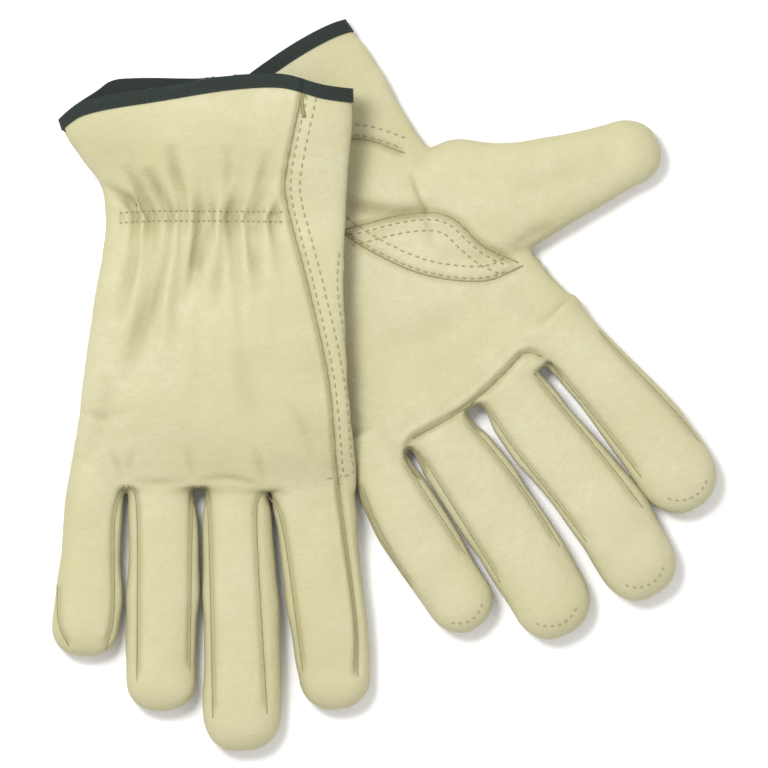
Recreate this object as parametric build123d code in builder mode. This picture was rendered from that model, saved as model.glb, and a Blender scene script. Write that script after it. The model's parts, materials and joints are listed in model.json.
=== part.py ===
"""A pair of leather work gloves with shirred elastic backs, lying flat, one on the other.

The left glove lies palm up on the surface. The right glove lies back up across its cuff and palm.
Each glove is modelled in its own frame: +Y from the cuff hem to the fingertips, +X towards the
little finger, +Z up. Both gloves then have the same plan, because one is the mirror of the other
turned over. Leather pieces are closed solids of the leather's thickness.
"""

from build123d import *
import os
from math import asin, atan2, cos, hypot, sin

# --- driving dimensions, in millimetres and degrees -------------------------------------------
LEATHER = 1.2  # grain leather, one layer
BINDING = 0.8  # hem tape, one layer
BINDING_WIDTH = 7.0
HEM_RISE = 8.0  # how far the hem arc stands past its ends
ELASTIC = 0.8
ELASTIC_WIDTH = 6.0
THREAD = 0.4
SEAM_ROWS = (2.2, 5.7)  # distances of the two stitch rows from the long seam
SHIRR_ROW_GAP = 4.0
PATCH = 1.0
KNUCKLE_Y = 154.0  # from the hem to the finger bases
WRIST_Y = 48.0  # from the hem to the shirring
FINGER_THICK = 16.0
FINGER_GAP = 0.5  # clearance between a finger's base and the hand
TIP_STEPS = (0.0, 0.4, 0.7, 0.88, 0.97)  # sections of a rounded tip, as shares of its radius
GUSSET = 7.0  # width of the side wall between two finger panels
TURN = 31.5  # the left glove's heading, from the right glove's
RIGHT_AT = (0.0, 0.0)  # the right glove's hem centre
LEFT_AT = (21.8, 6.6)  # the left glove's hem centre, from the right glove's
FLAT = 0.25  # what the resting face is trimmed by

# A station is (y, x at the little side, x at the index side, z under each, thickness).
RIGHT_HAND = [
    (-9, 60, -51, 17, 23, 18),
    (12, 55, -50, 16, 22, 17),
    (48, 42, -49, 12, 20, 14),
    (88, 44, -49, 11, 20, 15),
    (124, 49, -52, 7.5, 17.5, 15.5),
    (150, 53, -54, 1.5, 6.5, 16),
    (164, 54, -55, 0.5, 2.5, 16),
]
LEFT_HAND = [
    (-9, 61, -34, -FLAT, -FLAT, 14),
    (12, 56, -35, -FLAT, -FLAT, 13.5),
    (48, 42, -37, -FLAT, -FLAT, 12.5),
    (88, 44, -45, -FLAT, -FLAT, 14),
    (124, 49, -50, -FLAT, -FLAT, 14.5),
    (150, 53, -54, -FLAT, -FLAT, 15.5),
    (164, 54, -55, -FLAT, -FLAT, 16),
]
# A finger is base x, tip x, tip y, half width at the base and at the tip, height of its base.
RIGHT_FINGERS = {
    "little": (43.4, 48.6, 216.5, 11.4, 12.4, 1.0),
    "ring": (19.0, 20.2, 236.5, 12.4, 12.8, 1.6),
    "middle": (-8.0, -10.6, 251.5, 13.8, 13.8, 3.0),
    "index": (-38.4, -48.0, 236.0, 15.4, 14.4, 4.5),
}
LEFT_FINGERS = {
    "little": (43.4, 48.8, 219.0, 11.4, 12.4, 0.0),
    "ring": (19.0, 20.0, 240.0, 12.4, 13.6, 0.0),
    "middle": (-8.0, -16.0, 243.0, 13.8, 14.4, 0.0),
    "index": (-38.4, -49.5, 227.0, 15.4, 15.4, 0.0),
}
GUSSET_SIDES = {"little": (-1,), "ring": (-1, 1), "middle": (-1, 1), "index": (1,)}
# A thumb is base x, base y, tip x, tip y, half widths, height of its base, thickness.
LEFT_THUMB = (-52.5, 87.0, -110.0, 104.0, 21.5, 13.4, 0.0, 16.0)
RIGHT_THUMB = (-14.0, 88.0, 42.0, 101.0, 14.0, 12.4, 10.8, 6.4)
RIGHT_THUMB_ROOT = 6.0  # how far the right thumb runs back to the palm it is folded under
# The left hand's bulge towards its thumb: sections as distance, half width and thickness.
LEFT_ROOT = ((-22, 25.0, 12.5), (-9, 24.5, 14.5), (0, 21.5, 16.0))
# The long seam's plan on the back, from the hem to the knuckles.
SEAM = [(-33, -12), (-32.3, 2), (-26.6, 30), (-26.2, 43), (-35, 76), (-43, 110), (-47, 170)]
# The leaf-shaped reinforcement at the root of the thumb, on the palm.
LEAF_TOP = [(20, 73), (-12, 73), (-34, 89), (-50, 110)]
LEAF_LOW = [(-50, 110), (-26, 104), (-2, 91), (20, 73)]

os.makedirs("parts", exist_ok=True)
finished = {}
HIGH = 80.0  # taller than the pair, for the cutters


def section_plane(station, side=0.0):
    """The plane across a hand at one station, centred on the hand, or side above its middle."""
    y, little, index, z_little, z_index, thick = station
    roll = atan2(z_little - z_index, little - index)
    middle = ((little + index) / 2, y, (z_little + z_index + thick) / 2)
    lift = Vector(-sin(roll), 0, cos(roll)) * side
    return Plane(Vector(*middle) + lift, x_dir=(cos(roll), 0, sin(roll)), z_dir=(0, 1, 0))


def envelope(stations, grow):
    """The hand of a glove as one solid, grown on every side."""
    with BuildPart() as body:
        for station in stations:
            span = hypot(station[1] - station[2], station[3] - station[4])
            with BuildSketch(section_plane(station)):
                SlotOverall(span + 2 * grow, station[5] + 2 * grow)
        loft(ruled=True)
    return body.part


def hand_solid(stations, root, grow):
    """The hand with its bulge towards the thumb, if it has one, grown on every side."""
    with BuildPart() as body:
        add(envelope(stations, grow))
        if root:
            with BuildPart() as bulge:
                for y, half, thick in LEFT_ROOT:
                    centre = root.origin + root.y_dir * y + Vector(0, 0, thick / 2)
                    with BuildSketch(Plane(centre, x_dir=root.x_dir, z_dir=root.y_dir)):
                        SlotOverall(2 * (half + grow), thick + 2 * grow)
                loft(ruled=True)
            add(bulge.part)
    return body.part


def one_half(stations, up):
    """Everything above the hand's middle surface, or below it if up is -1."""
    with BuildPart() as body:
        for station in stations:
            with BuildSketch(section_plane(station, up * HIGH / 2)):
                Rectangle(3 * HIGH, HIGH)
        loft(ruled=True)
    return body.part


def hem_zone(shift):
    """Everything on the finger side of the hem arc, moved towards the fingers by shift."""
    with BuildPart(Plane.XY.offset(-HIGH)) as body:
        with BuildSketch():
            with BuildLine():
                arc = ThreePointArc((75, HEM_RISE + shift), (5, shift - 2), (-75, HEM_RISE + shift))
                Polyline(arc @ 1, (-75, 200), (75, 200), arc @ 0)
            make_face()
        extrude(amount=2 * HIGH)
    return body.part


def beside_seam(offset):
    """Everything on the little-finger side of the long seam, moved towards the index by offset."""
    with BuildPart(Plane.XY.offset(-HIGH)) as body:
        with BuildSketch():
            with BuildLine():
                seam = Spline(*[(x - offset, y) for x, y in SEAM])
                Polyline(seam @ 1, (100, 170), (100, -12), seam @ 0)
            make_face()
        extrude(amount=2 * HIGH)
    return body.part


def block(x0, x1, y0, y1):
    """A tall box over a rectangle of the plan."""
    with BuildPart() as body:
        with Locations(((x0 + x1) / 2, (y0 + y1) / 2, 0)):
            Box(x1 - x0, y1 - y0, 2 * HIGH)
    return body.part


def digit_plane(base, tip, height, length):
    """The plane under a finger or thumb: +Y to its tip, sloping down so that the tip rests."""
    slope = asin(height / length)
    along = Vector(tip[0] - base[0], tip[1] - base[1], 0).normalized() * cos(slope)
    along = Vector(along.X, along.Y, -sin(slope))
    across = Vector(along.Y, -along.X, 0).normalized()
    return Plane((base[0], base[1], height), x_dir=across, z_dir=across.cross(along))


def digit_solid(plane, start, length, base_half, tip_half, thick, inset):
    """A finger or thumb as one rounded solid, made smaller on every side by inset."""
    shoulder = length - tip_half

    def section(y):
        centre = plane.origin + plane.y_dir * y + plane.z_dir * thick / 2
        return Plane(centre, x_dir=plane.x_dir, z_dir=plane.y_dir)

    with BuildPart() as body:
        for y, half in ((start, base_half), (shoulder / 2, (base_half + tip_half) / 2)):
            with BuildSketch(section(y)):
                SlotOverall(2 * (half - inset), thick - 2 * inset)
        for share in TIP_STEPS:
            y = shoulder + share * (tip_half - inset)
            shrink = (1 - share**2) ** 0.5
            with BuildSketch(section(y)):
                SlotOverall(2 * (tip_half - inset) * shrink, (thick - 2 * inset) * shrink)
        loft(ruled=True)
    return body.part


def in_plane(plane, x0, x1, y0, y1, z0, z1):
    """A box given by its limits in a digit's plane."""
    with BuildPart(plane.offset((z0 + z1) / 2)) as body:
        with Locations(((x0 + x1) / 2, (y0 + y1) / 2)):
            Box(x1 - x0, y1 - y0, z1 - z0)
    return body.part


def keep(name, shape, location):
    """Lays a finished piece in its place on the surface and keeps it under its node's name."""
    solids = [s for s in shape.solids() if s.volume > 0.05]
    piece = location * (solids[0] if len(solids) == 1 else Compound(solids))
    piece.label = name
    finished[name] = piece
    return piece


def thumb_side(root):
    """Everything beyond the left thumb's base line."""
    return in_plane(root, -35, 35, 0, 60, -HIGH, HIGH)


def make_digit(hand, name, base, tip, widths, height, thick, location, sides=(), start=FINGER_GAP,
               away_from=None):
    """The panels of a finger or thumb: back, front and the side gussets where it has them."""
    length = hypot(tip[0] - base[0], tip[1] - base[1])
    plane = digit_plane(base, tip, height, length)
    with BuildPart() as shell:
        add(digit_solid(plane, start, length, *widths, thick, 0.0))
        add(digit_solid(plane, start - LEATHER, length, *widths, thick, LEATHER), mode=Mode.SUBTRACT)
        if away_from:
            add(away_from, mode=Mode.SUBTRACT)
    middle, far = thick / 2, length + thick
    rest = shell.part
    if sides:
        walls = in_plane(plane, min(sides) * 60 if min(sides) < 0 else 0,
                         max(sides) * 60 if max(sides) > 0 else 0, -5, length - widths[1],
                         middle - GUSSET / 2, middle + GUSSET / 2)
        with BuildPart() as gussets:
            add(shell.part)
            add(walls, mode=Mode.INTERSECT)
        keep(f"{hand}_{name}_gussets", gussets.part, location)
        with BuildPart() as panels:
            add(shell.part)
            add(walls, mode=Mode.SUBTRACT)
        rest = panels.part
    back_up = hand == "right"
    for half, low, high in (("upper", middle, thick + 5), ("under", -5, middle)):
        face = "back" if (half == "upper") == back_up else "front"
        with BuildPart() as panel:
            add(rest)
            add(in_plane(plane, -60, 60, start - 5, far, low, high), mode=Mode.INTERSECT)
        keep(f"{hand}_{name}_{face}", panel.part, location)


def make_hand(hand, stations, fingers, root, location, up):
    """The panels of a glove's hand, its hem binding and elastic. up is the back's side."""
    outer, inner = hand_solid(stations, root, 0.0), hand_solid(stations, root, -LEATHER)
    knuckle_cuts = []
    for base_x, tip_x, tip_y, base_half, _, height in fingers.values():
        run = hypot(tip_x - base_x, tip_y - KNUCKLE_Y)
        plane = digit_plane((base_x, KNUCKLE_Y), (tip_x, tip_y), height, run)
        plane = Plane(plane.origin, x_dir=plane.x_dir, z_dir=(0, 0, 1))
        reach = base_half + 2.5
        knuckle_cuts.append(in_plane(plane, -reach, reach, 0, 60, -HIGH, HIGH))
    if root:
        knuckle_cuts.append(thumb_side(root))
    with BuildPart() as shell:
        add(outer)
        add(inner, mode=Mode.SUBTRACT)
        add(hem_zone(0), mode=Mode.INTERSECT)
        add(knuckle_cuts, mode=Mode.SUBTRACT)
        add(block(-120, 120, 159, 200), mode=Mode.SUBTRACT)
        if hand == "left":
            split(bisect_by=Plane.XY, keep=Keep.TOP)
    with BuildPart() as back:
        add(shell.part)
        add(one_half(stations, up), mode=Mode.INTERSECT)
        add(beside_seam(0), mode=Mode.INTERSECT)
    keep(f"{hand}_back_panel", back.part, location)
    with BuildPart() as palm:
        add(shell.part)
        add(back.part, mode=Mode.SUBTRACT)
    keep(f"{hand}_palm_panel", palm.part, location)

    with BuildPart() as binding:
        add(envelope(stations, BINDING))
        add(envelope(stations, -LEATHER - BINDING), mode=Mode.SUBTRACT)
        add(hem_zone(-BINDING), mode=Mode.INTERSECT)
        add(hem_zone(BINDING_WIDTH), mode=Mode.SUBTRACT)
        add(shell.part, mode=Mode.SUBTRACT)
        if hand == "left":
            split(bisect_by=Plane.XY, keep=Keep.TOP)
    keep(f"{hand}_hem_binding", binding.part, location)

    with BuildPart() as elastic:
        add(inner)
        add(envelope(stations, -LEATHER - ELASTIC), mode=Mode.SUBTRACT)
        add(one_half(stations, up), mode=Mode.INTERSECT)
        add(block(-24, 36, WRIST_Y - ELASTIC_WIDTH / 2, WRIST_Y + ELASTIC_WIDTH / 2),
            mode=Mode.INTERSECT)
    keep(f"{hand}_wrist_elastic", elastic.part, location)
    return outer


def make_surface_pieces(hand, stations, root, outer, location, up):
    """What is sewn on the hand's outside: the shirring and seam threads, and the thumb's leaf."""
    thread_skin, leaf_skin = envelope(stations, THREAD), hand_solid(stations, root, PATCH)
    back_half, palm_half = one_half(stations, up), one_half(stations, -up)
    with BuildPart() as shirring:
        for y in (WRIST_Y - SHIRR_ROW_GAP / 2, WRIST_Y + SHIRR_ROW_GAP / 2):
            add(block(-24, 36, y, y + THREAD))
        add(thread_skin, mode=Mode.INTERSECT)
        add(outer, mode=Mode.SUBTRACT)
        add(back_half, mode=Mode.INTERSECT)
    with BuildPart() as seam:
        for row in SEAM_ROWS:
            add(beside_seam(row + THREAD))
            add(beside_seam(row), mode=Mode.SUBTRACT)
        add(thread_skin, mode=Mode.INTERSECT)
        add(outer, mode=Mode.SUBTRACT)
        add(back_half, mode=Mode.INTERSECT)
        add(block(-120, 120, 12, KNUCKLE_Y - 6), mode=Mode.INTERSECT)
    with BuildPart() as leaf:
        with BuildSketch(Plane.XY.offset(-HIGH)):
            with BuildLine():
                Spline(*LEAF_TOP)
                Spline(*LEAF_LOW)
            make_face()
        extrude(amount=2 * HIGH)
        add(leaf_skin, mode=Mode.INTERSECT)
        add(outer, mode=Mode.SUBTRACT)
        if root:
            add(thumb_side(root), mode=Mode.SUBTRACT)
        add(palm_half, mode=Mode.INTERSECT)
    keep(f"{hand}_thumb_leaf", leaf.part, location)
    if hand == "right":  # the left glove's back threads are pressed flat under the palm-up glove
        keep(f"{hand}_shirring_thread", shirring.part, location)
        keep(f"{hand}_seam_thread", seam.part, location)


def make_glove(hand, stations, fingers, thumb, location, up):
    """One whole glove."""
    base_x, base_y, tip_x, tip_y, base_half, tip_half, height, thick = thumb
    base, tip = (base_x, base_y), (tip_x, tip_y)
    folded = hand == "right"  # its thumb lies under the palm
    root = None if folded else digit_plane(base, tip, height, hypot(tip_x - base_x, tip_y - base_y))
    outer = make_hand(hand, stations, fingers, root, location, up)
    make_surface_pieces(hand, stations, root, outer, location, up)
    make_digit(hand, "thumb", base, tip, (base_half, tip_half), height, thick, location,
               start=-RIGHT_THUMB_ROOT if folded else FINGER_GAP,
               away_from=hand_solid(stations, root, PATCH) if folded else None)
    for name, (base_x, tip_x, tip_y, base_half, tip_half, height) in fingers.items():
        make_digit(hand, name, (base_x, KNUCKLE_Y), (tip_x, tip_y), (base_half, tip_half),
                   height, FINGER_THICK, location, GUSSET_SIDES[name])


def laid(at, turn):
    """Where a glove lies on the surface: its fingers point to -Y, turned by turn degrees."""
    return Location((at[0], at[1], 0), (0, 0, 180 + turn))


def main():
    make_glove("right", RIGHT_HAND, RIGHT_FINGERS, RIGHT_THUMB, laid(RIGHT_AT, 0), 1)
    make_glove("left", LEFT_HAND, LEFT_FINGERS, LEFT_THUMB, laid(LEFT_AT, TURN), -1)
    box = Compound(list(finished.values())).bounding_box()
    home = Location((-box.center().X, -box.center().Y, 0))
    print("centre moved by", -box.center().X, -box.center().Y, "size", box.size)
    for name, piece in finished.items():
        export_step(home * piece, f"parts/{name}.step")


main()
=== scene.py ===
# %% [markdown]
# # A pair of leather driver gloves
#
# Each glove is modelled flat in its own millimetre frame: +Y runs from the cuff hem to the
# fingertips, +X towards the little finger, +Z up. One smooth skin is made for the whole glove,
# shaped with folds and seams, and then cut into pieces; the hand's pieces ride on its body.

# %%
import json
import math

import bpy
import numpy as np
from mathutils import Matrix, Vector, noise
from mathutils.bvhtree import BVHTree


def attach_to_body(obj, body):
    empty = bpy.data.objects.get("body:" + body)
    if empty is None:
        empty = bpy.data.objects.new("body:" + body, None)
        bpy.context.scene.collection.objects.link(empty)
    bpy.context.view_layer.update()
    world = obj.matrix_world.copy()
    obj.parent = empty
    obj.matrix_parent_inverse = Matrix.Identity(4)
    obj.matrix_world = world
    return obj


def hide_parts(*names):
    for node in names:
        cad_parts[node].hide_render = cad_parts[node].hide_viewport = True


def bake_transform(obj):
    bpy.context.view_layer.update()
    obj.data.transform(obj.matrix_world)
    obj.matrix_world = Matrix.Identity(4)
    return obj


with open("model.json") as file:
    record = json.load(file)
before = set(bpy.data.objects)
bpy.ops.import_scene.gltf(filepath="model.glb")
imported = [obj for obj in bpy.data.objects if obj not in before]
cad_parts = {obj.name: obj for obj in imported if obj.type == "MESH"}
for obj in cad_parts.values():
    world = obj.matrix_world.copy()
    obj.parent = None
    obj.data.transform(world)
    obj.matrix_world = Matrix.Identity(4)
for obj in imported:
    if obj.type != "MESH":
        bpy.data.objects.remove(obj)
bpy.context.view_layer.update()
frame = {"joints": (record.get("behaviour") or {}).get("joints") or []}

MM = 0.001
LEATHER = 1.2  # one layer of grain leather
VOXEL = 1.05  # the size of the skins' faces
FLOOR_GAP = 0.05  # the lowest point of any piece
THUMB_TOP = 114.0  # the left thumb's piece ends below this
TAPE = 2.6  # the folded hem tape's thickness
TAPE_OUT = 0.7  # how far the tape stands out from the leather
KNUCKLE_Y = 149.0  # where the finger pieces are cut off
RING_POINTS = 48
HINGE_X = {"little": 43.4, "index": -38.4}  # the finger bases, across the glove
HINGE_Y = 154.5

# %% [markdown]
# ## The camera looks straight down

# %%
camera = bpy.data.objects.new("camera", bpy.data.cameras.new("camera"))
bpy.context.scene.collection.objects.link(camera)
camera.data.type = "ORTHO"
camera.data.ortho_scale = 0.2918
camera.location = (0.0002, -0.0007, 0.8)
bpy.context.scene.camera = camera

# %% [markdown]
# ## The gloves' measurements
#
# A hand station is y, x at the little side, x at the index side, z under each, thickness.
# A finger station is x, y and half width along its middle line, in millimetres.

# %%
GLOVES = {
    "right": {
        "up": 1,  # the back faces up
        "hand": [
            (-12, 62, -51, 17, 23, 17), (2, 61, -51, 17, 23, 17), (12, 59.5, -51, 16.5, 22.5, 17),
            (20, 56.5, -50.5, 15.5, 22, 16.5), (30, 49.5, -50, 14, 21.3, 15),
            (38, 44, -49.6, 12.8, 20.8, 13.6), (49, 42, -49.4, 12, 20, 12.8),
            (64, 42.5, -49.4, 11.6, 20, 14.2), (86, 46.4, -49.4, 11, 20, 15.2),
            (110, 50.2, -51, 9, 18.6, 15.6), (124, 52, -52, 7.5, 17, 15.6),
            (138, 54, -53.4, 4.4, 12, 15.8), (148, 55.2, -54.4, 2, 7.2, 15.6), (153, 55.4, -54.6, 1.6, 6, 14.6),
        ],
        "fingers": {
            "little": ([(43.5, 136, 9), (44.8, 150, 10.6), (46, 162, 11.2), (46.8, 178, 11.8),
                        (47.6, 196, 12.9)],
                       (48.6, 204.5, 12.6), (49.4, 216.6), 1.0),
            "ring": ([(20.5, 136, 11), (20.6, 150, 12.0), (19.6, 165, 12.3), (19.5, 185, 12.8),
                      (19.8, 205, 12.8)],
                     (20.0, 224, 12.6), (20.2, 236.7), 1.6),
            "middle": ([(-6.5, 136, 11), (-7.6, 150, 11.4), (-8.2, 165, 11.8), (-9.6, 190, 12.7),
                        (-10.4, 215, 13.5)],
                       (-10.8, 238, 13.3), (-11, 251.6), 3.0),
            "index": ([(-36.5, 136, 13), (-37.2, 150, 15.6), (-40, 165, 15.2), (-42.6, 190, 14.8),
                       (-45.4, 212, 14.4)],
                      (-46.8, 222.5, 13.9), (-48.0, 236.0), 4.5),
        },
    },
    "left": {
        "up": -1,
        "hand": [
            (-12, 61, -33, 0.1, 0.1, 13), (3, 60, -33, 0.1, 0.1, 13), (13, 57, -35, 0.1, 0.1, 13),
            (27, 49, -35, 0.1, 0.1, 12.8), (40, 43, -34, 0.1, 0.1, 12.4), (50, 42, -34, 0.1, 0.1, 12.2),
            (64, 42.5, -36, 0.1, 0.1, 13), (88, 44.5, -41, 0.1, 0.1, 14), (109, 47, -46.2, 0.1, 0.1, 14.4),
            (127, 51, -50, 0.1, 0.1, 14.8), (142, 54, -53, 0.1, 0.1, 15), (152, 55.5, -55.2, 0.1, 0.1, 14.2),
        ],
        "fingers": {
            "little": ([(43, 136, 10), (44.8, 152, 11.0), (46.2, 166, 12.6), (46.4, 184, 13.4),
                        (45.9, 196, 13.1)],
                       (45.4, 208.5, 12.7), (44.0, 222.2), 0.0),
            "ring": ([(18.5, 136, 11), (17.8, 153, 12.2), (16.2, 172, 13.6), (15.2, 192, 14.5),
                      (15.0, 212, 14.5)],
                     (15.4, 226.5, 14.0), (17.2, 241.2), 0.0),
            "middle": ([(-11.5, 136, 11), (-13.0, 151, 12.6), (-15.0, 172, 13.6),
                        (-18.2, 196, 13.8), (-20.2, 216, 13.8)],
                       (-20.4, 231.5, 13.7), (-19.6, 245.6), 0.0),
            "index": ([(-39.5, 136, 14), (-42.4, 150, 12.4), (-46.4, 172, 13.2),
                       (-49.9, 194, 14.2), (-51.2, 206, 14.2)],
                      (-51.6, 211.5, 14.0), (-51.0, 226.0), 0.0),
            "thumb": ([(-20, 79, 22), (-34, 82.5, 25.4), (-47, 87.5, 22), (-60, 91, 18.4),
                       (-76, 94.6, 15.6)],
                      (-94.5, 97.6, 13.2), (-110.3, 99.5), 0.0),
        },
    },
}
FINGER_THICK = 15.6
HEM = {  # the hem line across each cuff, little side to index side
    "right": [(64, 18), (56, 9), (46, 4.5), (20, 0), (-4, -4), (-24, -5), (-40, -1), (-56, 1)],
    "left": [(66, 8.5), (45, 2), (20, -1.5), (-8, -3.5), (-28, -2.5), (-40, 2)],
}
HEM_UNDER = {  # the same for the layer below, which shows past the right cuff's top edge
    "right": [(64, 18), (56, 9), (46, 2), (40, -2), (30, -3), (8, -3), (-4, -4), (-24, -5),
              (-40, -1), (-56, 1)],
    "left": HEM["left"],
}
THUMB_CUT = [(-57.6, 40), (-52, 87), (-46.2, 135)]

# %% [markdown]
# ## Helpers

# %%


def glove_frame(hand):
    """Origin, x direction and y direction of a glove's own frame, from its knuckle hinges."""
    at = {j["name"]: np.array(j["pos_m"]) for j in frame["joints"] if j["type"] == "hinge"}
    little, index = at[f"{hand}_little_curl"][:2], at[f"{hand}_index_curl"][:2]
    x_dir = (little - index) / np.linalg.norm(little - index)
    y_dir = np.array([-x_dir[1], x_dir[0]])
    origin = little - x_dir * HINGE_X["little"] * MM - y_dir * HINGE_Y * MM
    return origin, x_dir, y_dir


def to_world(hand, points):
    """Glove millimetres to metres in the shared frame."""
    origin, x_dir, y_dir = glove_frame(hand)
    points = np.asarray(points, dtype=float)
    plan = origin + MM * (points[:, :1] * x_dir + points[:, 1:2] * y_dir)
    return np.column_stack([plan, MM * points[:, 2]])


def smooth_line(points, step=1.5):
    """A Catmull-Rom curve through the points, sampled at about the step."""
    p = np.asarray(points, dtype=float)
    p = np.vstack([2 * p[0] - p[1], p, 2 * p[-1] - p[-2]])
    out = []
    for a, b, c, d in zip(p[:-3], p[1:-2], p[2:-1], p[3:]):
        count = max(2, int(np.linalg.norm(c - b) / step))
        for t in np.arange(count) / count:
            out.append(0.5 * (2 * b + (c - a) * t + (2 * a - 5 * b + 4 * c - d) * t**2
                              + (3 * b - a - 3 * c + d) * t**3))
    out.append(p[-2])
    return np.array(out)


def curve_at(table, columns, value):
    """Every other column of a table, smoothly read where its first column is the value."""
    line = smooth_line([row[:columns] for row in table], 0.8)
    order = np.argsort(line[:, 0])
    return [np.interp(value, line[order, 0], line[order, i]) for i in range(1, columns)]


def ring(centre, half_width, half_height, across, up, power=2.5):
    """One closed superellipse section."""
    out = []
    for k in range(RING_POINTS):
        a = 2 * math.pi * k / RING_POINTS
        c, s = math.cos(a), math.sin(a)
        out.append(centre + across * (half_width * math.copysign(abs(c) ** (2 / power), c))
                   + up * (half_height * math.copysign(abs(s) ** (2 / power), s)))
    return out


def tube(verts, faces, rings):
    """Adds a closed tube through the rings to the lists."""
    start = len(verts)
    for section in rings:
        verts.extend(section)
    for r in range(len(rings) - 1):
        for k in range(RING_POINTS):
            n = (k + 1) % RING_POINTS
            a, b = start + r * RING_POINTS, start + (r + 1) * RING_POINTS
            faces.append((a + k, a + n, b + n, b + k))
    faces.append(tuple(start + k for k in reversed(range(RING_POINTS))))
    faces.append(tuple(start + (len(rings) - 1) * RING_POINTS + k for k in range(RING_POINTS)))


def hand_rings(stations):
    """The hand's sections, every 3 mm from the cuff to past the knuckles."""
    rings = []
    ys = np.arange(stations[0][0], stations[-1][0] + 0.1, 3.0)
    columns = curve_at(stations, 6, ys)
    for y, little, index, z_little, z_index, thick in zip(ys, *columns):
        across = np.array([little - index, 0, z_little - z_index])
        span = np.linalg.norm(across)
        across = across / span
        up = np.array([-across[2], 0, across[0]])
        centre = np.array([(little + index) / 2, y, (z_little + z_index + thick) / 2])
        rings.append(ring(centre, span / 2, thick / 2, across, up, 2.6))
    return rings


def finger_rings(stations, shoulder, tip, height, thick):
    """A finger's sections along its middle line, then closing in to a round tip."""
    line = smooth_line(stations + [shoulder], 3.0)
    rings = []
    for i, (x, y, half) in enumerate(line):
        ahead = line[min(i + 1, len(line) - 1)] - line[max(i - 1, 0)]
        along = np.array([ahead[0], ahead[1], 0]) / np.linalg.norm(ahead[:2])
        across = np.array([along[1], -along[0], 0])
        share = i / (len(line) - 1)
        z = thick / 2 + height * (1 - share) + 0.1
        rings.append(ring(np.array([x, y, z]), half, thick / 2, across, np.array([0, 0, 1.0])))
    end = np.array([tip[0] - shoulder[0], tip[1] - shoulder[1], 0.0])
    reach = np.linalg.norm(end)
    along = end / reach
    across = np.array([along[1], -along[0], 0])
    for share in (0.25, 0.48, 0.68, 0.82, 0.92, 0.98):
        round_off = (1 - share**2.3) ** (1 / 2.3)
        centre = np.array([shoulder[0], shoulder[1], thick / 2 + 0.1]) + end * share
        rings.append(ring(centre, shoulder[2] * round_off, thick / 2 * (1 - share**3) ** 0.5,
                          across, np.array([0, 0, 1.0])))
    return rings


def mesh_object(name, verts, faces):
    mesh = bpy.data.meshes.new(name)
    mesh.from_pydata([tuple(v) for v in verts], [], [tuple(f) for f in faces])
    mesh.update()
    obj = bpy.data.objects.new(name, mesh)
    bpy.context.scene.collection.objects.link(obj)
    return obj


def bake(obj):
    """Applies every modifier."""
    bpy.ops.object.select_all(action="DESELECT")
    obj.select_set(True)
    bpy.context.view_layer.objects.active = obj
    for modifier in list(obj.modifiers):
        bpy.ops.object.modifier_apply(modifier=modifier.name)


def mesh_arrays(mesh):
    co = np.empty(len(mesh.vertices) * 3)
    mesh.vertices.foreach_get("co", co)
    normal = np.empty(len(mesh.vertices) * 3)
    mesh.vertices.foreach_get("normal", normal)
    return co.reshape(-1, 3), normal.reshape(-1, 3)


def to_line(points, line):
    """Distance from each plan point to a polyline, the nearest point and its share of the line."""
    best = np.full(len(points), 1e9)
    near = np.zeros((len(points), 2))
    share = np.zeros(len(points))
    lengths = np.linalg.norm(np.diff(line, axis=0), axis=1)
    total, done = lengths.sum(), 0.0
    for a, b, length in zip(line[:-1], line[1:], lengths):
        ab = b - a
        t = np.clip(((points - a) @ ab) / max(length**2, 1e-9), 0, 1)
        foot = a + t[:, None] * ab
        d = np.linalg.norm(points - foot, axis=1)
        closer = d < best
        best[closer], near[closer], share[closer] = d[closer], foot[closer], (done + t[closer] * length) / total
        done += length
    return best, near, share


# %% [markdown]
# ## One skin for each glove
#
# The hand and fingers are closed lofts, joined by a voxel remesh and smoothed, so the crotches
# between the fingers fill in as leather does.

# %%


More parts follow.
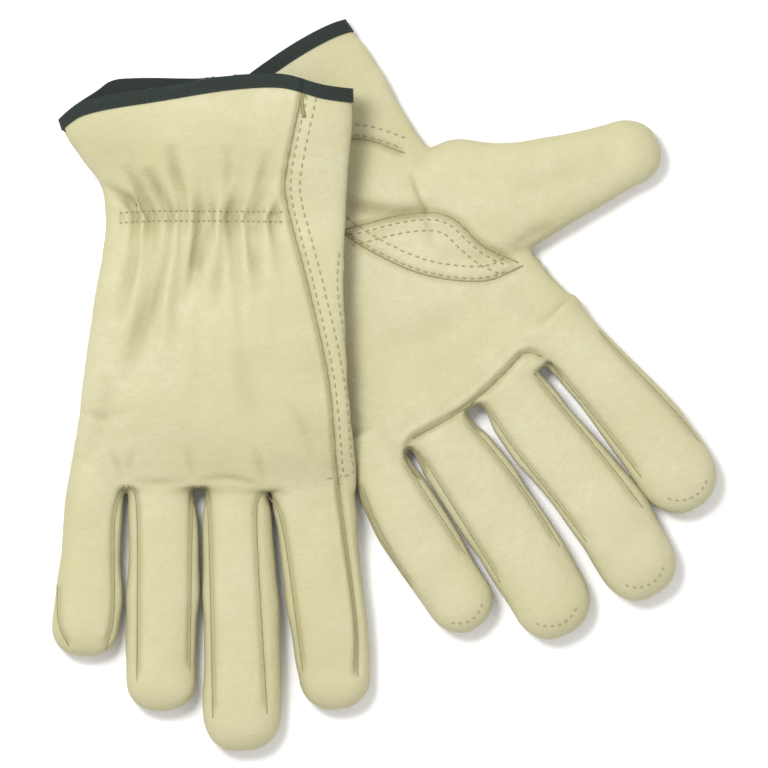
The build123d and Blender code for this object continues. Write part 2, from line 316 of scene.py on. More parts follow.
class Skin:
    """A glove's outer surface in its own millimetres, as arrays that the later steps shape."""

    def __init__(self, hand):
        self.hand, self.plan = hand, GLOVES[hand]
        verts, faces = [], []
        tube(verts, faces, hand_rings(self.plan["hand"]))
        for name, (stations, shoulder, tip, height) in self.plan["fingers"].items():
            tube(verts, faces, finger_rings(stations, shoulder, tip, height, FINGER_THICK))
        obj = mesh_object(f"{hand}_skin", np.array(verts) * MM, faces)
        remesh = obj.modifiers.new("remesh", "REMESH")
        remesh.mode, remesh.voxel_size = "VOXEL", VOXEL * MM
        relax = obj.modifiers.new("relax", "SMOOTH")
        relax.factor, relax.iterations = 0.5, 8
        bake(obj)
        self.co, self.normal = mesh_arrays(obj.data)
        self.co = self.co / MM
        self.faces = [tuple(p.vertices) for p in obj.data.polygons]
        bpy.data.objects.remove(obj)
        self.shade = np.zeros(len(self.co))
        print(hand, "skin", len(self.co), "points")

    def top(self):
        """1 on the upward side, 0 on the underside."""
        return np.clip(self.normal[:, 2] * 3 + 0.2, 0, 1)

    def crease(self, points, width, depth, fade=0.15, under=False, shade=0.0):
        """A groove along a line, or a ridge where depth is negative, with painted shade along it."""
        line = smooth_line(points, 2.0)
        d, _, share = to_line(self.co[:, :2], line)
        side = 1 - self.top() if under else self.top()
        ends = np.clip(np.minimum(share, 1 - share) / max(fade, 1e-3), 0, 1) ** 0.7 if fade else 1.0
        amount = np.exp(-((d / width) ** 2)) * side * ends
        self.co -= self.normal * (amount * depth)[:, None]
        # Painted shade: the colour is darkened along the groove, as if shade lay in it.
        self.shade = np.maximum(self.shade, amount * shade * 0.6)

    def wave(self, scale, size, seed):
        """Soft unevenness all over."""
        shift = Vector((seed * 31.7, seed * 17.3, seed * 5.1))
        lift = np.array([noise.noise(Vector(p) / scale + shift) for p in self.co])
        self.co += self.normal * (lift * size)[:, None]

    def snap(self, line, reach=0.7, top=None):
        """Moves the points nearest a line onto it, so that a cut along it comes out clean."""
        d, near, _ = to_line(self.co[:, :2], line)
        chosen = d < reach
        if top is not None:
            chosen &= (self.normal[:, 2] > 0.1) if top else (self.normal[:, 2] < -0.1)
        self.co[chosen, :2] = near[chosen]

    def refresh(self):
        """Takes the normals again after the shape has changed."""
        mesh = bpy.data.meshes.new("refresh")
        mesh.from_pydata(self.co.tolist(), [], self.faces)
        self.normal = mesh_arrays(mesh)[1]
        bpy.data.meshes.remove(mesh)

    def around(self, values):
        """The mean of each point's neighbours."""
        edges = np.array([(f[k], f[(k + 1) % len(f)]) for f in self.faces for k in range(len(f))])
        count = np.bincount(edges[:, 0], minlength=len(self.co))
        columns = [np.bincount(edges[:, 0], values[edges[:, 1], i], len(self.co)) / count
                   for i in range(values.shape[1])]
        return np.column_stack(columns)

    def finish(self, gain):
        """Softens the shaped skin once, and adds painted shade where it is hollow, darkening the colour as the
        shade in hollows would.
        """
        self.co = 0.6 * self.co + 0.4 * self.around(self.co)
        self.refresh()
        # Painted shade: the more hollow a point, the darker its colour.
        hollow = ((self.around(self.co) - self.co) * self.normal).sum(axis=1)
        self.shade = np.clip(self.shade + np.clip(hollow * gain, 0, 0.5), 0, 1)
        for _ in range(3):
            self.shade = 0.5 * self.shade + 0.5 * self.around(self.shade[:, None])[:, 0]

    def centres(self):
        return np.array([self.co[list(f)].mean(axis=0) for f in self.faces])

    def tree(self):
        return BVHTree.FromPolygons([Vector(p) for p in self.co], self.faces)


skins = {hand: Skin(hand) for hand in GLOVES}

# %% [markdown]
# ## Seams, gathers and folds
#
# The real glove is cut from flat leather, sewn inside out and turned, so every seam lies in a
# groove, and the wrist is gathered by an elastic sewn on stretched. A cloth solver could make such
# folds, but it gives others each time it is tuned. Here each groove and fold is a line that the
# skin's own points are pushed along, so it stays where the glove has it.

# %%
# Each line has only the points that its shape needs. The long seam follows the
# CAD thread's route and runs on along the index finger. Stitch rows are set off from these lines.
LONG_SEAM = [(-33, -14), (-32, 2), (-26.5, 30), (-26.5, 44), (-35, 76), (-43, 112), (-46.5, 148),
             (-54, 200), (-54.5, 222)]
THUMB_ROW = [(-46.5, 62), (-46, 76), (-49, 99)]
SHIRR_Y = (47.4, 51.2)
SHIRR_X = (-25.5, 37.5)
GUNN = [(33, 161), (32.5, 151.5), (28, 148), (5, 148.5), (-14, 145), (-25, 142.5), (-30, 147), (-30, 156)]
LEAF_EDGE = [(8, 67), (-16, 75), (-28, 84), (-33, 100), (-41, 112)]
LEAF_LOW = [(12, 62), (5, 78), (-8, 97), (-26, 111), (-42, 114)]
THUMB_FOLD = [(6, 56), (-12, 72), (-27, 78)]
CUFF_EDGE = [(-2, 33), (-16, 42), (-26, 54)]
ROW_GAPS = {"cuff": (-1.4, -5.4), "leaf_edge": (2.6, 6.6), "leaf_low": (-1.2, -5.6)}  # rows beside each line
FINGER_SEAMS = {
    "little": [[(34.5, 151.5), (38, 166), (38, 200), (41, 214)], [(59.5, 190), (59, 204), (55, 213)]],
    "ring": [[(33, 151.5), (29.5, 162), (29, 226)], [(8, 151.5), (8.5, 162), (9, 222)]],
    "middle": [[(5.5, 151.5), (2.5, 162), (0, 240)], [(-18.5, 153.5), (-16, 166), (-20.5, 238)]],
    "index": [[(-19.5, 154), (-26, 168), (-34, 222)], [(-47, 150), (-54, 200), (-55, 224)]],
}


def finger_of(skin, points):
    """The number of the finger whose middle line is nearest, for points past the knuckles."""
    names = [n for n in skin.plan["fingers"] if n != "thumb"]
    distance = []
    for name in names:
        stations, shoulder, tip, _ = skin.plan["fingers"][name]
        line = smooth_line([s[:2] for s in stations] + [shoulder[:2], tip], 3.0)
        half = np.mean([s[2] for s in stations[1:]])
        distance.append(to_line(points[:, :2], line)[0] - half)
    return names, np.argmin(np.array(distance), axis=0)


FILL = {  # how much wider each finger is drawn out, so the gaps come narrow without webs in them
    "right": {"little": 0.4, "ring": 1.4, "middle": 1.4, "index": 0.8},
    "left": {"little": 0.8, "ring": 1.2, "middle": 1.3, "index": 1.1},
}


def fatten(skin):
    """Fills the fingers out sideways; the outer sides of the hand stay where they are."""
    names, nearest = finger_of(skin, skin.co)
    skin.owner = nearest  # kept for the cutting, since the gaps are too narrow to tell afterwards
    amount = np.array([FILL[skin.hand][name] for name in names])[nearest]
    rise = np.clip((skin.co[:, 1] - KNUCKLE_Y - 2) / 12, 0, 1)
    outer = np.array([{"little": 1.0, "index": -1.0}.get(name, 0.0) for name in names])[nearest]
    inner = np.clip(1 - outer * skin.normal[:, 0] * 1.5, 0, 1)
    skin.co[:, :2] += skin.normal[:, :2] * (amount * rise * rise * (3 - 2 * rise) * inner)[:, None]


def shirr(skin):
    """The wrist drawn in by its elastic: a waist, fine puckers in the rows and fanning gathers."""
    x, y = skin.co[:, 0], skin.co[:, 1]
    middle = sum(SHIRR_Y) / 2
    inside = np.clip((x - SHIRR_X[0]) / 5, 0, 1) * np.clip((SHIRR_X[1] - x) / 5, 0, 1) * skin.top()
    away = y - middle
    skin.co[:, 2] -= 2.2 * np.exp(-((away / 7) ** 2)) * inside
    reach = np.where(away < 0, 16.0, 34.0)
    fan = 1 + np.abs(away) / reach * np.where(away < 0, 0.35, 0.18)
    u = (x - 6) / fan
    coarse = np.array([noise.noise(Vector((v / 4.4, 3.1 + a / 60, 0.4))) for v, a in zip(u, away)])
    fine = np.array([noise.noise(Vector((v / 2.1, 9.7 + a / 40, 1.4))) for v, a in zip(u, away)])
    fall = np.exp(-np.abs(away) / reach * 1.6)
    skin.co[:, 2] += inside * fall * (4.6 * coarse + 3.2 * fine * np.exp(-np.abs(away) / 9))
    ribs = np.sin(2 * math.pi * (u + 0.8 * coarse) / 3.1) * np.exp(-((away / 5.5) ** 2))
    skin.co[:, 2] += inside * 0.38 * ribs
    # Painted shade: the colour is darkened in the troughs of the puckers and the low parts of the gathers.
    skin.shade = np.maximum(skin.shade, inside * np.clip(-ribs, 0, 1) * 0.3)
    skin.shade = np.maximum(skin.shade, inside * fall * np.clip(-coarse - 0.1, 0, 0.25))


def shape_right(skin):
    fatten(skin)
    skin.wave(34, 1.5, 1)
    skin.wave(13, 0.5, 2)
    shirr(skin)
    skin.refresh()
    # Each fold is its line, width, depth and how much painted shade darkens its colour.
    for points, width, depth, shade in (
        ([(27, 31), (23, 41), (19, 50)], 2.6, 1.9, 0.5),
        ([(36, 30), (30, 40), (26, 50)], 2.2, 1.3, 0.35),
        ([(44, 37), (35, 43), (27, 47)], 2.0, 1.4, 0.4),
        ([(18, 58), (25, 82), (36, 114)], 3.2, 1.7, 0.4),
        ([(15, 52), (19, 78), (20, 106)], 3.0, -1.5, 0.0),
        ([(5.7, 52), (8, 66), (12, 84)], 2.4, 1.6, 0.4),
        ([(28, 52), (32, 68), (38, 92)], 2.6, 1.3, 0.3),
        ([(-2, 52), (-1, 68), (2, 86)], 2.4, 1.1, 0.3),
        ([(-12, 52), (-14, 66), (-18, 80)], 2.4, 0.9, 0.2),
        ([(12, 44), (16, 34), (18, 22)], 2.4, 1.2, 0.3),
        ([(-2, 44), (-4, 34), (-4, 22)], 2.6, 1.1, 0.25),
        ([(-14, 44), (-17, 34), (-19, 24)], 2.2, 0.9, 0.2),
        ([(40, 110), (44, 128), (50, 146)], 3.5, 0.9, 0.15),
        ([(-10, 100), (-14, 122), (-20, 140)], 4.5, 0.8, 0.1),
        ([(40, 138), (34.6, 151)], 1.5, 0.5, 0.14),
        ([(31, 137), (33.6, 150)], 1.4, 0.4, 0.1),
        ([(11, 136), (7.9, 150)], 1.5, 0.45, 0.1),
        ([(-15, 137), (-19.2, 152)], 1.5, 0.5, 0.12),
        ([(33, 150), (21, 151), (9, 150)], 1.4, 0.4, 0.12),
        ([(6.6, 150), (-6, 149), (-18.4, 152.4)], 1.3, 0.55, 0.18),
        ([(56, 122), (44, 126), (30, 123)], 2.0, 0.5, 0.1),
        ([(-26, 118), (-34, 130), (-38, 144)], 2.4, 0.5, 0.1),
    ):
        skin.crease(points, width, depth * 1.4, 0.45, shade=shade * 0.8)
    # The seams are grooves with painted shade along them.
    for points in [line for lines in FINGER_SEAMS.values() for line in lines]:
        skin.crease(points, 1.2, 0.9, 0.06, shade=0.35)
    skin.crease(LONG_SEAM, 1.2, 1.1, 0.0, shade=0.35)
    skin.crease([(x + 2.0, y) for x, y in LONG_SEAM], 1.4, -0.6, 0.05)


def shape_left(skin):
    fatten(skin)
    skin.wave(34, 1.4, 3)
    skin.wave(13, 0.5, 4)
    skin.refresh()
    # Each fold is its line, width, depth and how much painted shade darkens its colour.
    for points, width, depth, shade in (
        (THUMB_FOLD, 2.6, 2.2, 0.55),
        ([(-52, 86), (-66, 92), (-84, 95)], 6.0, 0.8, 0.1),
        ([(-40, 108), (-50, 106), (-62, 108)], 3.0, 1.0, 0.2),
        ([(20, 110), (2, 118), (-14, 116)], 6.0, 0.9, 0.1),
        ([(-30, 118), (-36, 130), (-42, 144)], 5.0, 0.7, 0.08),
        ([(31.8, 150), (31.4, 163)], 2.0, 1.2, 0.35),
        ([(3.2, 149), (3.2, 160)], 2.0, 1.2, 0.35),
        ([(-29.6, 150), (-30, 160)], 2.0, 1.2, 0.35),
    ):
        skin.crease(points, width, depth, 0.3, shade=shade)
    # Each finger's two side seams are grooves with painted shade along them.
    for finger in ("little", "ring", "middle", "index"):
        stations, shoulder, tip, _ = GLOVES["left"]["fingers"][finger]
        for side in (-1, 1):
            line = [(x + side * (half - 1.4), y) for x, y, half in stations[1:]]
            skin.crease(line, 1.2, 0.8, 0.1, shade=0.25)
    # The palm's seams are grooves with painted shade along them.
    skin.crease(GUNN, 1.3, 1.5, 0.0, shade=0.5)
    skin.crease([(x, y - 2.2) for x, y in GUNN], 1.4, -0.8, 0.05)
    skin.crease(CUFF_EDGE, 1.2, 1.2, 0.05, shade=0.4)
    skin.crease(LEAF_EDGE, 1.3, 1.4, 0.05, shade=0.4)
    skin.crease([(x + 2.0, y + 1.6) for x, y in LEAF_EDGE], 1.5, -0.6, 0.05)
    skin.crease(LEAF_LOW, 1.2, 0.8, 0.05, shade=0.25)


shape_right(skins["right"])
shape_left(skins["left"])

# %% [markdown]
# ## Cutting the skins into pieces
#
# A piece is a set of faces taken from a skin. Points near the thumb cut and the hem lines are first moved onto
# them. The pieces keep the whole skin's normals, so no edge shows between two of them at rest.

# %%
HEM_BAND = 5.4  # the tape's width on each side
HEM_TUCK = 1.6  # how far the leather stops inside the tape's fold


def hem_line(points, shift):
    return smooth_line([(x, y + shift) for x, y in points], 1.0)


def past(line, points):
    """True where a plan point lies on the finger side of a hem line."""
    order = np.argsort(line[:, 0])
    return points[:, 1] > np.interp(points[:, 0], line[order, 0], line[order, 1])


def keep_normals(mesh, normals, count):
    """Gives the outer faces the whole skin's normals, and the inner faces the same, reversed."""
    corner = np.empty(len(mesh.loops), int)
    mesh.loops.foreach_get("vertex_index", corner)
    first = np.empty(len(mesh.polygons), int)
    mesh.polygons.foreach_get("loop_start", first)
    flat = np.empty(len(mesh.polygons) * 3)
    mesh.polygons.foreach_get("normal", flat)
    face = np.searchsorted(first, np.arange(len(corner)), side="right") - 1
    out = flat.reshape(-1, 3)[face]
    outer, inner = face < count, (face >= count) & (face < 2 * count)
    out[outer] = normals[corner[outer]]
    out[inner] = -normals[corner[inner] - len(normals)]
    mesh.normals_split_custom_set(out.tolist())


def straighten(skin, picked, lines):
    """Moves the open edge's points along the glove onto the nearest of the lines, top and under."""
    count = {}
    for f in picked:
        for k in range(len(f)):
            edge = tuple(sorted((f[k], f[(k + 1) % len(f)])))
            count[edge] = count.get(edge, 0) + 1
    rim = np.array(sorted({v for edge, uses in count.items() if uses == 1 for v in edge}))
    co, above = skin.co[rim], skin.normal[rim, 2] > 0
    best = np.full(len(rim), 1e9)
    for top, under in lines:
        at = np.where(above, *[np.interp(co[:, 0], *hem[np.argsort(hem[:, 0])].T) for hem in (top, under)])
        best = np.where(np.abs(at - co[:, 1]) < np.abs(best - co[:, 1]), at, best)
    move = np.abs(best - co[:, 1]) < 2.5 * VOXEL
    skin.co[rim[move], 1] = best[move]


def piece(skin, name, chosen, outward=0.0, thick=LEATHER, lines=()):
    """A closed sheet made of the chosen faces of a skin, moved outward and given its thickness."""
    picked = [skin.faces[i] for i in np.nonzero(chosen)[0]]
    if lines:
        straighten(skin, picked, lines)
    used = sorted({v for f in picked for v in f})
    index = {v: i for i, v in enumerate(used)}
    co = skin.co[used] + skin.normal[used] * outward
    obj = mesh_object(name, to_world(skin.hand, co), [[index[v] for v in f] for f in picked])
    origin, x_dir, y_dir = glove_frame(skin.hand)
    turned = np.column_stack([skin.normal[used, :1] * x_dir + skin.normal[used, 1:2] * y_dir,
                              skin.normal[used, 2]])
    mesh = obj.data
    mesh.shade_smooth()
    # The painted shade goes with each piece as a point attribute, read by the leather's colour.
    painted_shade_layer = mesh.attributes.new("shade", "FLOAT", "POINT")
    painted_shade_layer.data.foreach_set("value", skin.shade[used])
    solid = obj.modifiers.new("leather", "SOLIDIFY")
    solid.thickness, solid.offset = thick * MM, -1
    bake(obj)
    flat = np.empty(len(obj.data.vertices) * 3)
    obj.data.vertices.foreach_get("co", flat)
    flat[2::3] = np.maximum(flat[2::3], FLOOR_GAP * MM)  # nothing sinks into the floor
    obj.data.vertices.foreach_set("co", flat)
    keep_normals(obj.data, turned, len(picked))
    return obj


pieces = {}


def cut(skin):
    """Cuts one skin into its fingers, thumb, hand and hem tape."""
    hand = skin.hand
    if hand == "left":
        skin.snap(np.array(THUMB_CUT), VOXEL * 0.5)
    for shift in (0, HEM_BAND):
        skin.snap(hem_line(HEM[hand], shift), VOXEL * 0.5, top=True)
        skin.snap(hem_line(HEM_UNDER[hand], shift), VOXEL * 0.5, top=False)
    centre = skin.centres()
    above = np.array([skin.normal[list(f), 2].mean() for f in skin.faces]) > 0

    def inside(shift):
        return np.where(above, past(hem_line(HEM[hand], shift), centre),
                        past(hem_line(HEM_UNDER[hand], shift), centre))

    outside = ~inside(0)
    band = ~outside & ~inside(HEM_BAND)
    names = [name for name in skin.plan["fingers"] if name != "thumb"]
    nearest = skin.owner[[f[0] for f in skin.faces]]
    is_finger = centre[:, 1] > KNUCKLE_Y
    thumb = np.zeros(len(centre), bool)
    if hand == "left":
        cut_x, cut_y = np.array(THUMB_CUT).T
        thumb = (centre[:, 0] < np.interp(centre[:, 1], cut_y, cut_x)) & (centre[:, 1] < THUMB_TOP)
    for k, name in enumerate(names):
        pieces[f"{hand}_{name}"] = piece(skin, f"{hand}_{name}_leather", is_finger & (nearest == k) & ~thumb)
    if hand == "left":
        pieces["left_thumb"] = piece(skin, "left_thumb_leather", thumb)
    pieces[f"{hand}_hand"] = piece(skin, f"{hand}_hand_leather", inside(HEM_TUCK) & ~is_finger & ~thumb)
    both = [[hem_line(edge[hand], shift) for edge in (HEM, HEM_UNDER)] for shift in (0, HEM_BAND)]
    pieces[f"{hand}_binding"] = piece(skin, f"{hand}_hem_tape", band, TAPE_OUT, TAPE, both)


for skin in skins.values():
    skin.finish(3.0)
    cut(skin)

print(len(pieces), "pieces cut from the skins")

# %% [markdown]
# ## The right thumb, folded under the palm
#
# It hardly shows, so it is a plain closed loft with no seams of its own.

# %%
verts, faces = [], []
thumb_line = [(-16, 86.5, 12.5), (0, 91, 13.5), (14, 94.5, 13.4), (24, 97, 13)]
rings = finger_rings(thumb_line, (31, 98.5, 12.4), (42, 101), 10.4, 6.2)
tube(verts, faces, rings)
obj = mesh_object("right_thumb_leather", to_world("right", verts), faces)
soften = obj.modifiers.new("soften", "SUBSURF")
soften.levels = soften.render_levels = 1
bake(obj)
obj.data.shade_smooth()
pieces["right_thumb"] = obj

# %% [markdown]
# ## Stitches
#
# The real seams are lockstitched with cotton thread, and only the top thread shows, as dashes.
# Each dash is a short bent tube laid on the surface by a ray, so it follows every fold. A texture
# would be lighter, but it would lie flat and stretch.

# %%
STITCH_SIDES = 6
STITCH_STEPS = (-0.5, -0.36, -0.12, 0.12, 0.36, 0.5)


def surface(skin, tree, x, y, lift=60.0):
    hit = tree.ray_cast(Vector((x, y, lift)), Vector((0, 0, -1)))
    return (np.array(hit[0]), np.array(hit[1])) if hit[0] is not None else (None, None)


def add_sections(verts, faces, sections):
    """Adds a closed six-sided tube through the sections to the lists."""
    base = len(verts)
    for section in sections:
        verts.extend(section)
    for r in range(len(sections) - 1):
        for k in range(STITCH_SIDES):
            n = (k + 1) % STITCH_SIDES
            a, b = base + r * STITCH_SIDES, base + (r + 1) * STITCH_SIDES
            faces.append((a + k, a + n, b + n, b + k))
    last = base + (len(sections) - 1) * STITCH_SIDES
    faces.append(tuple(base + k for k in reversed(range(STITCH_SIDES))))
    faces.append(tuple(last + k for k in range(STITCH_SIDES)))


def stitch_row(skin, tree, rows, name, pitch, length, radius, lift=0.0):
    """Rows of short raised thread dashes that dip into the leather at both ends."""
    verts, faces = [], []
    for row in rows:
        line = smooth_line(row, 0.4)
        far = np.concatenate([[0], np.cumsum(np.linalg.norm(np.diff(line, axis=0), axis=1))])
        for start in np.arange(0.5 * pitch, far[-1] - 0.5 * pitch, pitch):
            wobble = 0.12 * noise.noise(Vector((start, row[0][0], 4.2)))
            ends = [np.array([np.interp(start + s * length, far, line[:, i]) for i in (0, 1)])
                    for s in (-0.5, 0.5)]
            across = ends[1] - ends[0]
            across = np.array([-across[1], across[0], 0]) / max(np.linalg.norm(across), 1e-6)
            centre = (ends[0] + ends[1]) / 2 + across[:2] * wobble
            ok, sections = True, []
            for s in STITCH_STEPS:
                spot = centre + (ends[1] - ends[0]) * s
                point, normal = surface(skin, tree, *spot)
                if point is None:
                    ok = False
                    break
                bow = lift + 0.22 * (1 - (2 * s) ** 2) - 0.02 - 0.35 * (abs(s) > 0.45)
                thick = radius * (0.72 if abs(s) > 0.45 else 1.0)
                mid = point + normal * bow
                sections.append([mid + thick * (math.cos(a) * across + math.sin(a) * normal)
                                 for a in np.arange(STITCH_SIDES) * 2 * math.pi / STITCH_SIDES])
            if not ok:
                continue
            add_sections(verts, faces, sections)
    obj = mesh_object(name, to_world(skin.hand, verts), faces)
    obj.data.shade_smooth()
    return obj


def beside(points, gap):
    """A line moved sideways by gap, to its right when looking along it."""
    line = smooth_line(points, 2.0)
    way = np.gradient(line, axis=0)
    way /= np.linalg.norm(way, axis=1)[:, None]
    moved = np.column_stack([line[:, 0] + way[:, 1] * gap, line[:, 1] - way[:, 0] * gap])
    return np.vstack([moved[:-1:4], moved[-1:]])


def welt(skin, tree, lines, name, radius):
    """The thin cut edge of the leather standing in each seam: a fine cord pressed into the groove."""
    verts, faces = [], []
    for points in lines:
        line = smooth_line(points, 1.0)
        way = np.gradient(line, axis=0)
        way /= np.linalg.norm(way, axis=1)[:, None]
        sections = []
        for k, (spot, along) in enumerate(zip(line, way)):
            point, normal = surface(skin, tree, *spot)
            if point is None:
                continue
            uneven = 1 + 0.35 * noise.noise(Vector((*spot, 0.0)) / 1.7)
            across = np.array([-along[1], along[0], 0])
            sections.append([point + radius * uneven * (math.cos(a) * across + 0.8 * math.sin(a) * normal)
                             for a in np.arange(STITCH_SIDES) * 2 * math.pi / STITCH_SIDES])
        add_sections(verts, faces, sections)
    obj = mesh_object(name, to_world(skin.hand, verts), faces)
    obj.data.shade_smooth()
    return obj


def tip_arc(hand, finger, inset, spread=55):
    """A stitch line round the end of a finger, a little inside its outline."""
    _, shoulder, tip, _ = GLOVES[hand]["fingers"][finger]
    heading = math.atan2(tip[1] - shoulder[1], tip[0] - shoulder[0])
    angles = np.radians(np.linspace(-spread, spread, 9)) + heading
    radius = shoulder[2] - inset
    return [(shoulder[0] + radius * math.cos(a), shoulder[1] + radius * math.sin(a)) for a in angles]


threads, seams = {}, {}
trees = {hand: skin.tree() for hand, skin in skins.items()}
SEAM_ON_HAND = [p for p in LONG_SEAM if 1 < p[1] < KNUCKLE_Y] + [(-47, KNUCKLE_Y)]
PALM_ROWS = [beside(CUFF_EDGE, gap) for gap in ROW_GAPS["cuff"]]
for key, line in (("leaf_edge", LEAF_EDGE), ("leaf_low", LEAF_LOW)):
    PALM_ROWS += [beside(line, gap)[:-1] for gap in ROW_GAPS[key]]
ROWS = {
    "right": {
        "seam": ([beside(SEAM_ON_HAND, -2.2), beside(SEAM_ON_HAND, -5.7), THUMB_ROW], 3.2, 2.1, 0.27),
        "wrist": ([[(SHIRR_X[1], y + 0.9), (20, y), (SHIRR_X[0], y)] for y in SHIRR_Y], 2.1, 1.2, 0.3),
    },
    "left": {"leaf": (PALM_ROWS, 3.0, 1.9, 0.27)},
}
WELTS = {"right": [SEAM_ON_HAND], "left": [GUNN[2:-1], CUFF_EDGE, LEAF_EDGE, LEAF_LOW]}
for hand, skin in skins.items():
    tree = trees[hand]
    for name, (rows, pitch, length, radius) in ROWS[hand].items():
        threads[f"{hand}_{name}_stitches"] = stitch_row(skin, tree, rows, f"{hand}_{name}_stitches",
                                                        pitch, length, radius)
    hem_row = [(x, y) for x, y in hem_line(HEM[hand], HEM_BAND * 0.62)[::6] if -50 < x < 57]
    threads[f"{hand}_hem_stitches"] = stitch_row(skin, tree, [hem_row], f"{hand}_hem_stitches",
                                                 3.4, 2.0, 0.26, 0.75)
    seams[f"{hand}_hand"] = welt(skin, tree, WELTS[hand], f"{hand}_hand_seams", 0.34)
    for finger in ("little", "ring", "middle", "index"):
        stations, shoulder, tip, _ = skin.plan["fingers"][finger]
        lines = FINGER_SEAMS[finger] if hand == "right" else [
            [(x + side * (half - 1.4), y) for x, y, half in stations[1:]] for side in (-1, 1)]
        seams[f"{hand}_{finger}"] = welt(skin, tree, lines, f"{hand}_{finger}_seams", 0.24)
        if hand == "left":
            threads[f"left_{finger}_tip"] = stitch_row(skin, tree, [tip_arc("left", finger, 3.0)],
                                                       f"left_{finger}_tip_stitches", 2.8, 1.6, 0.24)

SEAM_END = [(-33, 2.4), (-32.2, 6), (-33, 11.5)]  # the raw end of the seam, left untrimmed at the cuff
seams["right_end"] = welt(skins["right"], trees["right"], [SEAM_END], "right_seam_end", 0.8)

# %% [markdown]
# ## Materials
#
# Grain leather from cowhide, a woven hem tape, sewing threads and the raw edge of the leather.
# Each is worked out from noise at its real scale in metres, with no pictures, so it holds up close.

# %%


def linear(hex_colour):
    """An sRGB colour like "E4E0C0" as linear red, green, blue, alpha."""
    out = []
    for i in (0, 2, 4):
        c = int(hex_colour[i:i + 2], 16) / 255
        out.append(c / 12.92 if c <= 0.04045 else ((c + 0.055) / 1.055) ** 2.4)
    return (*out, 1.0)


def node(tree, kind, inputs=None, **settings):
    """Adds a node, sets its properties, and links or fills its inputs."""
    added = tree.nodes.new(kind)
    for key, value in settings.items():
        setattr(added, key, value)
    for key, value in (inputs or {}).items():
        if isinstance(value, bpy.types.NodeSocket):
            tree.links.new(value, added.inputs[key])
        else:
            added.inputs[key].default_value = value
    return added


def material(name):
    made = bpy.data.materials.new(name)
    made.use_nodes = True
    tree = made.node_tree
    return made, tree, tree.nodes["Principled BSDF"]


def mix(tree, factor, a, b, kind="MIX"):
    added = node(tree, "ShaderNodeMix", data_type="RGBA", blend_type=kind)
    for key, value in (("Factor", factor), (6, a), (7, b)):
        if isinstance(value, bpy.types.NodeSocket):
            tree.links.new(value, added.inputs[key])
        else:
            added.inputs[key].default_value = value
    return added.outputs[2]


def ramp(tree, value, low, high):
    added = node(tree, "ShaderNodeMapRange", {"Value": value, "From Min": low, "From Max": high})
    return added.outputs["Result"]


def make_leather():
    """Unlined cream cowhide grain leather: fine pebbled grain, cloudy colour, and painted shade darkening the
    folds.
    """
    made, tree, shader = material("cowhide_grain_leather")
    at = node(tree, "ShaderNodeTexCoord").outputs["Object"]
    clouds = node(tree, "ShaderNodeTexNoise", {"Vector": at, "Scale": 22.0, "Detail": 4.0}).outputs["Fac"]
    mottle = node(tree, "ShaderNodeTexNoise", {"Vector": at, "Scale": 260.0, "Detail": 3.0}).outputs["Fac"]
    pebble = node(tree, "ShaderNodeTexVoronoi", {"Vector": at, "Scale": 1500.0}).outputs["Distance"]
    pores = node(tree, "ShaderNodeTexNoise", {"Vector": at, "Scale": 3200.0, "Detail": 2.0}).outputs["Fac"]
    wrinkle = node(tree, "ShaderNodeTexNoise", {"Vector": at, "Scale": 420.0, "Detail": 5.0,
                                                "Distortion": 0.6}).outputs["Fac"]
    base = mix(tree, ramp(tree, clouds, 0.35, 0.68), linear("B0AB84"), linear("B7B393"))
    base = mix(tree, ramp(tree, mottle, 0.35, 1.1), base, linear("AFA982"))
    # Painted shade: the shade attribute mixes the colour towards 7C7348 in the folds, seams and hollows.
    shade = node(tree, "ShaderNodeAttribute", attribute_name="shade").outputs["Fac"]
    base = mix(tree, shade, base, linear("7C7348"))
    tree.links.new(base, shader.inputs["Base Color"])
    rough = ramp(tree, mottle, 0.2, 0.9)
    rough = node(tree, "ShaderNodeMapRange", {"Value": rough, "To Min": 0.5, "To Max": 0.66}).outputs["Result"]
    tree.links.new(rough, shader.inputs["Roughness"])
    shader.inputs["Specular IOR Level"].default_value = 0.35
    grain = node(tree, "ShaderNodeBump", {"Height": pebble, "Strength": 0.16, "Distance": 0.0003})
    fine = node(tree, "ShaderNodeBump", {"Height": pores, "Strength": 0.12, "Distance": 0.0002,
                                         "Normal": grain.outputs["Normal"]})
    soft = node(tree, "ShaderNodeBump", {"Height": wrinkle, "Strength": 0.5, "Distance": 0.0006,
                                         "Normal": fine.outputs["Normal"]})
    tree.links.new(soft.outputs["Normal"], shader.inputs["Normal"])
    return made


def make_tape():
    """Dark green woven binding tape: a fine twill of ribs along the hem."""
    made, tree, shader = material("green_woven_tape")
    at = node(tree, "ShaderNodeTexCoord").outputs["Object"]
    ribs = node(tree, "ShaderNodeTexWave", {"Vector": at, "Scale": 420.0, "Distortion": 1.2, "Detail": 2.0},
                bands_direction="DIAGONAL").outputs["Fac"]
    clouds = node(tree, "ShaderNodeTexNoise", {"Vector": at, "Scale": 120.0, "Detail": 4.0}).outputs["Fac"]
    base = mix(tree, ribs, linear("0E1812"), linear("1E2C23"))
    base = mix(tree, ramp(tree, clouds, 0.3, 0.8), base, linear("141F19"))
    tree.links.new(base, shader.inputs["Base Color"])
    shader.inputs["Roughness"].default_value = 0.82
    bump = node(tree, "ShaderNodeBump", {"Height": ribs, "Strength": 0.5, "Distance": 0.0003})
    tree.links.new(bump.outputs["Normal"], shader.inputs["Normal"])
    return made


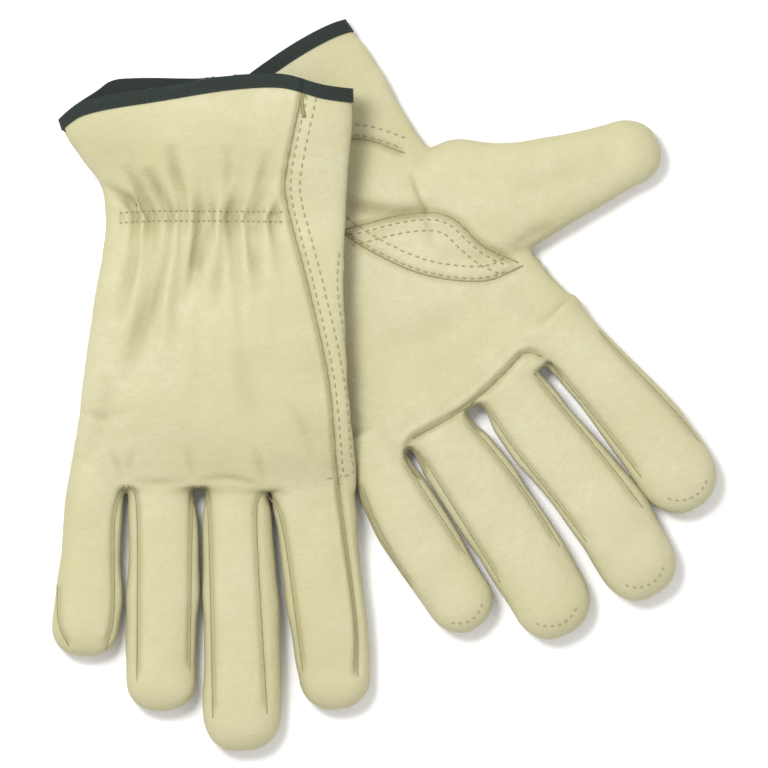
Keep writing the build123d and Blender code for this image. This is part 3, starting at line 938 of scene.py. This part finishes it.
def make_thread(name, dark, light):
    """Twisted sewing thread."""
    made, tree, shader = material(name)
    at = node(tree, "ShaderNodeTexCoord").outputs["Object"]
    twist = node(tree, "ShaderNodeTexWave", {"Vector": at, "Scale": 900.0, "Distortion": 0.5},
                 bands_direction="DIAGONAL").outputs["Fac"]
    tree.links.new(mix(tree, twist, linear(dark), linear(light)), shader.inputs["Base Color"])
    shader.inputs["Roughness"].default_value = 0.6
    return made


leather = make_leather()
tape = make_tape()
seam_thread = make_thread("undyed_sewing_thread", "837A58", "A79E78")
dark_thread = make_thread("black_sewing_thread", "10140F", "2B332C")
cut_edge = make_thread("raw_leather_edge", "6E653F", "968C60")

# %% [markdown]
# ## What each piece is made of, moves with and stands for
#
# Tapes and rows of stitches on the hand simply ride on the hand's body. The fingers' leather and
# seams stay where they lie, on no body.

# %%
def attach(obj, body, made, slot, *nodes):
    """Gives a piece its material, body and the CAD nodes it stands for. The slot is not used."""
    obj.data.materials.append(made)
    if body:
        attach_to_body(obj, body)
    if nodes:
        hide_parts(*nodes)


for hand in GLOVES:
    attach(pieces[f"{hand}_hand"], f"{hand}_hand", leather, "leather", f"{hand}_back_panel",
           f"{hand}_palm_panel", f"{hand}_thumb_leaf", f"{hand}_wrist_elastic")
    attach(pieces[f"{hand}_binding"], f"{hand}_hand", tape, "binding", f"{hand}_hem_binding")
    attach(seams[f"{hand}_hand"], f"{hand}_hand", cut_edge, "leather")
    attach(threads[f"{hand}_hem_stitches"], f"{hand}_hand", dark_thread, "thread")
    for name in ("little", "ring", "middle", "index"):
        attach(pieces[f"{hand}_{name}"], None, leather, "leather", f"{hand}_{name}_back",
               f"{hand}_{name}_front", f"{hand}_{name}_gussets")
        attach(seams[f"{hand}_{name}"], None, cut_edge, "leather")
        for obj in (pieces[f"{hand}_{name}"], seams[f"{hand}_{name}"]):
            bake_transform(obj)
        if hand == "left":
            attach(threads[f"left_{name}_tip"], f"left_{name}", seam_thread, "thread")
attach(pieces["left_thumb"], None, leather, "leather", "left_thumb_back", "left_thumb_front")
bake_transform(pieces["left_thumb"])
attach(pieces["right_thumb"], "right_hand", leather, "leather", "right_thumb_back", "right_thumb_front")
attach(seams["right_end"], "right_hand", cut_edge, "leather")
attach(threads["right_seam_stitches"], "right_hand", seam_thread, "thread", "right_seam_thread")
attach(threads["right_wrist_stitches"], "right_hand", seam_thread, "thread", "right_shirring_thread")
attach(threads["left_leaf_stitches"], "left_hand", seam_thread, "thread")

# %% [markdown]
# ## Floor and soft studio light
#
# White paper, an even white room and one soft lamp from the upper left, so the shadows stay close
# to the gloves and pale.

# %%
bpy.ops.object.select_all(action="DESELECT")
bpy.ops.mesh.primitive_plane_add(size=6, location=(0, 0, 0))
floor = bpy.context.object
floor.name = "floor"
paper, tree, shader = material("white_paper_sweep")
shader.inputs["Base Color"].default_value = linear("F4F3F2")
shader.inputs["Roughness"].default_value = 0.9
floor.data.materials.append(paper)

bpy.context.scene.view_settings.view_transform = "Standard"
world = bpy.data.worlds.new("studio")
bpy.context.scene.world = world
world.use_nodes = True
world.node_tree.nodes["Background"].inputs["Color"].default_value = linear("FFFFFF")
world.node_tree.nodes["Background"].inputs["Strength"].default_value = 0.7


def lamp(name, place, size, power):
    light = bpy.data.lights.new(name, "AREA")
    light.size, light.energy = size, power
    obj = bpy.data.objects.new(name, light)
    bpy.context.scene.collection.objects.link(obj)
    obj.location = place
    obj.rotation_euler = (-Vector(place)).to_track_quat("-Z", "Y").to_euler()


lamp("key", (-0.5, 0.5, 1.4), 0.5, 22)
lamp("fill", (0.9, -0.5, 1.4), 1.2, 4)
